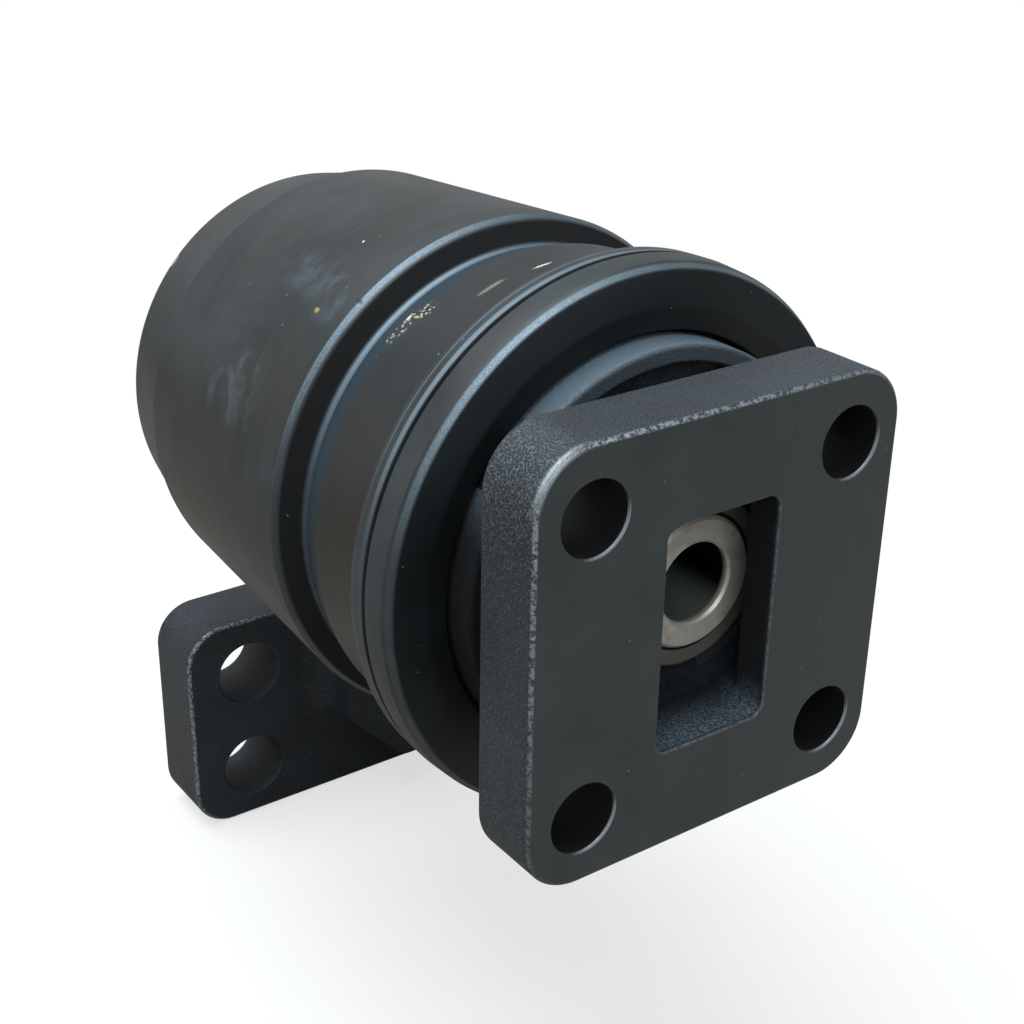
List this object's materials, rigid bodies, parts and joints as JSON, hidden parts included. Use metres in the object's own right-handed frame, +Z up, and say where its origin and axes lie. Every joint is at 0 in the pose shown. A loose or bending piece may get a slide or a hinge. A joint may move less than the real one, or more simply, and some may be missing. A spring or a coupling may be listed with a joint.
{
  "type": "carrier roller",
  "caption": "Upper track roller for a tracked excavator: a turned steel roller spinning on a fixed shaft, carried by a square front plate and a cranked rear foot.",
  "frame": {"origin": "centre of the four front bolt holes, on the mounting face of the front plate", "axes": "+Y from the front plate towards the rear foot, parallel to the shaft axis; +Z up; +X to the right seen from the front. The shaft axis lies at x = 12.5 mm, z = 0"},
  "size_m": [0.2389, 0.31, 0.3082],
  "materials": {
    "roller_paint": "satin black-grey paint on a turned forging",
    "bracket_paint": "satin black-grey paint on a casting",
    "shaft_steel": "turned, lightly oiled",
    "bush_bronze": "turned bearing bronze",
    "ring_steel": "ground",
    "seal_iron": "lapped running face",
    "seal_rubber": "matt",
    "pin_steel": "ground",
    "plug_steel": "blackened",
    "washer_metal": "soft sealing washer"
  },
  "bodies": {
    "mounting": {"front_bracket": "bracket_paint", "rear_bracket": "bracket_paint", "shaft": "shaft_steel", "thrust_ring_front": "ring_steel", "thrust_ring_rear": "ring_steel", "seal_ring_front_fixed": "seal_iron", "seal_ring_rear_fixed": "seal_iron", "toric_ring_front_fixed": "seal_rubber", "toric_ring_rear_fixed": "seal_rubber", "o_ring_front": "seal_rubber", "o_ring_rear": "seal_rubber", "lock_pin_front": "pin_steel", "lock_pin_rear": "pin_steel", "oil_plug": "plug_steel", "plug_washer": "washer_metal"},
    "roller": {"roller_shell": "roller_paint", "bush_front": "bush_bronze", "bush_rear": "bush_bronze", "seal_ring_front_running": "seal_iron", "seal_ring_rear_running": "seal_iron", "toric_ring_front_running": "seal_rubber", "toric_ring_rear_running": "seal_rubber"}
  },
  "joints": [
    {"name": "roller_spin", "type": "hinge", "parent": "mounting", "child": "roller", "pos_m": [0.0125, 0.151, 0], "axis": [0, 1, 0], "continuous": true}
  ]
}
